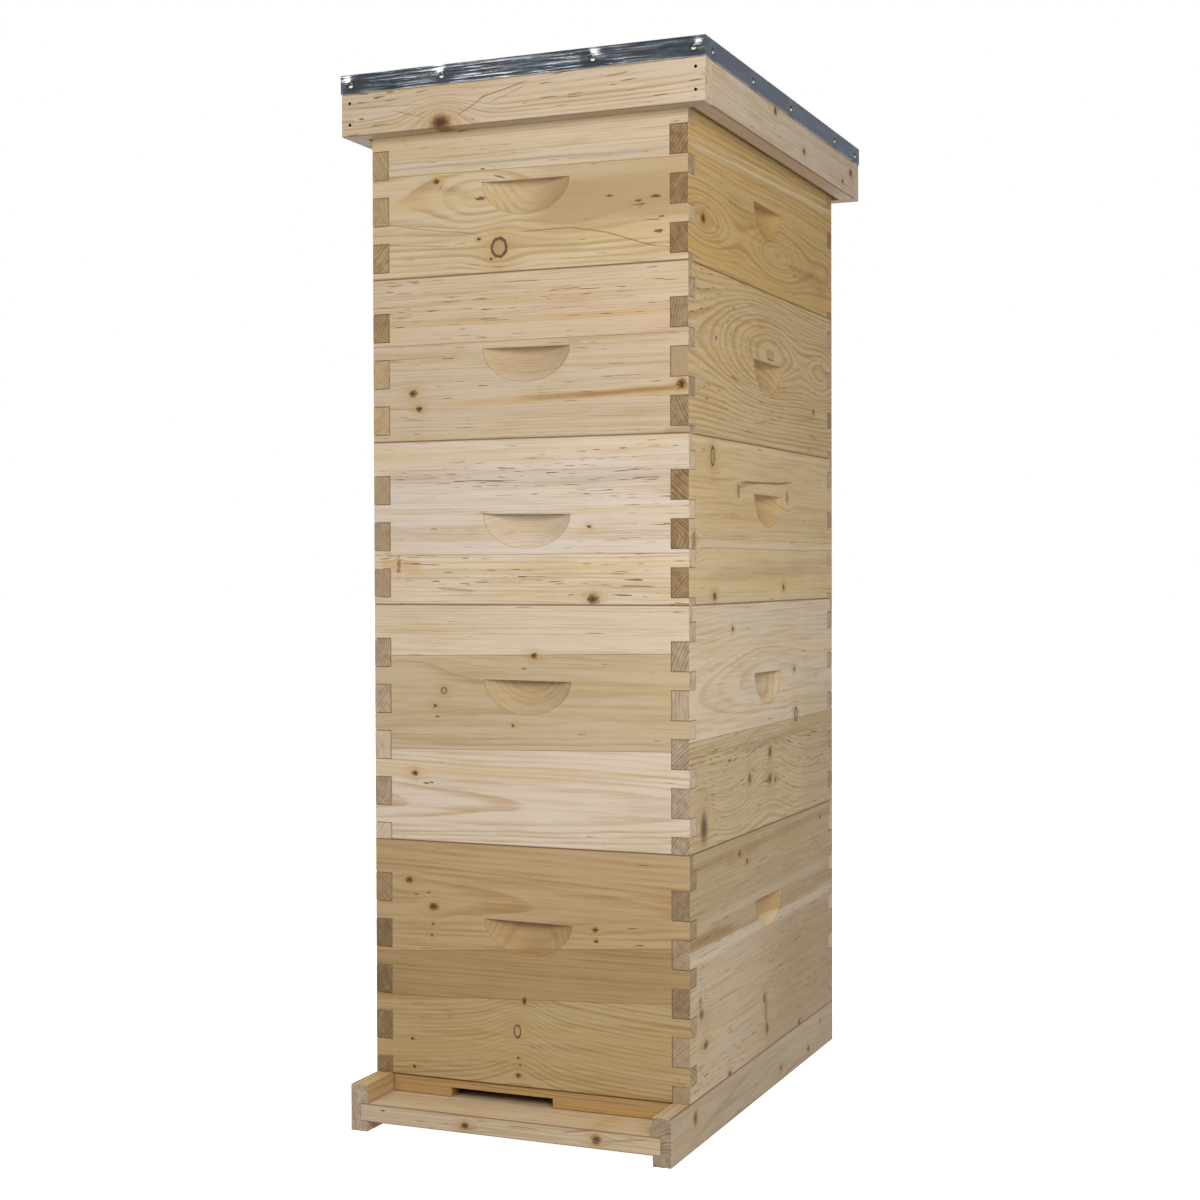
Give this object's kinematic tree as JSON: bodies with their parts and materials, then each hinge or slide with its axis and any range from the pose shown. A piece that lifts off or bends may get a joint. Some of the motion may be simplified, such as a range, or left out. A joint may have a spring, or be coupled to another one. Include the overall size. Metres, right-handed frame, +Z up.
{
  "type": "beehive",
  "caption": "Tall stack of box-jointed wooden hive boxes holding hanging frames, on a grooved bottom board with an entrance strip, under an inner cover and a metal-sheeted outer cover.",
  "frame": {"origin": "on the ground under the centre of the hive's bounding box", "axes": "+X across the hive to its right, -Y towards the entrance, +Z up"},
  "size_m": [0.4024, 0.5936, 1.0834],
  "materials": {
    "box_wood": "bare planed softwood",
    "frame_wood": "bare planed softwood",
    "foundation": "wax coated",
    "galvanised_sheet": "bright galvanised",
    "nails": "dull steel"
  },
  "bodies": {
    "bottom_board": {"bottom_rail_left": "box_wood", "bottom_rail_right": "box_wood", "floor_board_front": "box_wood", "floor_board_middle": "box_wood", "floor_board_rear": "box_wood", "bottom_rear_cleat": "box_wood"},
    "entrance_reducer": {"entrance_reducer": "box_wood"},
    "deep_1": {"deep_1_front_board": "box_wood", "deep_1_back_board": "box_wood", "deep_1_left_board": "box_wood", "deep_1_right_board": "box_wood"},
    "deep_1_frames": {"deep_1_frame_top_bars": "frame_wood", "deep_1_frame_end_bars": "frame_wood", "deep_1_frame_bottom_bars": "frame_wood", "deep_1_foundations": "foundation"},
    "deep_2": {"deep_2_front_board": "box_wood", "deep_2_back_board": "box_wood", "deep_2_left_board": "box_wood", "deep_2_right_board": "box_wood"},
    "deep_2_frames": {"deep_2_frame_top_bars": "frame_wood", "deep_2_frame_end_bars": "frame_wood", "deep_2_frame_bottom_bars": "frame_wood", "deep_2_foundations": "foundation"},
    "super_1": {"super_1_front_board": "box_wood", "super_1_back_board": "box_wood", "super_1_left_board": "box_wood", "super_1_right_board": "box_wood"},
    "super_1_frames": {"super_1_frame_top_bars": "frame_wood", "super_1_frame_end_bars": "frame_wood", "super_1_frame_bottom_bars": "frame_wood", "super_1_foundations": "foundation"},
    "super_2": {"super_2_front_board": "box_wood", "super_2_back_board": "box_wood", "super_2_left_board": "box_wood", "super_2_right_board": "box_wood"},
    "super_2_frames": {"super_2_frame_top_bars": "frame_wood", "super_2_frame_end_bars": "frame_wood", "super_2_frame_bottom_bars": "frame_wood", "super_2_foundations": "foundation"},
    "super_3": {"super_3_front_board": "box_wood", "super_3_back_board": "box_wood", "super_3_left_board": "box_wood", "super_3_right_board": "box_wood"},
    "super_3_frames": {"super_3_frame_top_bars": "frame_wood", "super_3_frame_end_bars": "frame_wood", "super_3_frame_bottom_bars": "frame_wood", "super_3_foundations": "foundation"},
    "inner_cover": {"inner_cover_panel": "box_wood", "inner_cover_rim_front": "box_wood", "inner_cover_rim_back": "box_wood", "inner_cover_rim_left": "box_wood", "inner_cover_rim_right": "box_wood"},
    "outer_cover": {"cover_rim_front": "box_wood", "cover_rim_back": "box_wood", "cover_rim_left": "box_wood", "cover_rim_right": "box_wood", "cover_deck": "box_wood", "cover_sheet_metal": "galvanised_sheet", "cover_sheet_nails": "nails", "cover_rim_nails": "nails"}
  },
  "joints": [
    {"name": "entrance_reducer_slide", "type": "slide", "parent": "bottom_board", "child": "entrance_reducer", "axis": [0, -1, 0], "range_m": [0, 0.08]},
    {"name": "deep_1_lift", "type": "slide", "parent": "bottom_board", "child": "deep_1", "axis": [0, 0, 1], "range_m": [0, 0.15]},
    {"name": "deep_2_lift", "type": "slide", "parent": "deep_1", "child": "deep_2", "axis": [0, 0, 1], "range_m": [0, 0.34]},
    {"name": "super_1_lift", "type": "slide", "parent": "deep_2", "child": "super_1", "axis": [0, 0, 1], "range_m": [0, 0.34]},
    {"name": "super_2_lift", "type": "slide", "parent": "super_1", "child": "super_2", "axis": [0, 0, 1], "range_m": [0, 0.24]},
    {"name": "super_3_lift", "type": "slide", "parent": "super_2", "child": "super_3", "axis": [0, 0, 1], "range_m": [0, 0.24]},
    {"name": "inner_cover_lift", "type": "slide", "parent": "super_3", "child": "inner_cover", "axis": [0, 0, 1], "range_m": [0, 0.24]},
    {"name": "outer_cover_lift", "type": "slide", "parent": "inner_cover", "child": "outer_cover", "axis": [0, 0, 1], "range_m": [0, 0.12]},
    {"name": "deep_1_frames_lift", "type": "slide", "parent": "deep_1", "child": "deep_1_frames", "axis": [0, 0, 1], "range_m": [0, 0.2458]},
    {"name": "deep_2_frames_lift", "type": "slide", "parent": "deep_2", "child": "deep_2_frames", "axis": [0, 0, 1], "range_m": [0, 0.2458]},
    {"name": "super_1_frames_lift", "type": "slide", "parent": "super_1", "child": "super_1_frames", "axis": [0, 0, 1], "range_m": [0, 0.1738]},
    {"name": "super_2_frames_lift", "type": "slide", "parent": "super_2", "child": "super_2_frames", "axis": [0, 0, 1], "range_m": [0, 0.1738]},
    {"name": "super_3_frames_lift", "type": "slide", "parent": "super_3", "child": "super_3_frames", "axis": [0, 0, 1], "range_m": [0, 0.1738]}
  ],
  "couplings": [
    {"joint": "deep_1_frames_lift", "follows": "deep_2_lift", "ratio": 0.72},
    {"joint": "deep_2_frames_lift", "follows": "super_1_lift", "ratio": 0.72},
    {"joint": "super_1_frames_lift", "follows": "super_2_lift", "ratio": 0.72},
    {"joint": "super_2_frames_lift", "follows": "super_3_lift", "ratio": 0.72},
    {"joint": "super_3_frames_lift", "follows": "inner_cover_lift", "ratio": 0.72}
  ]
}
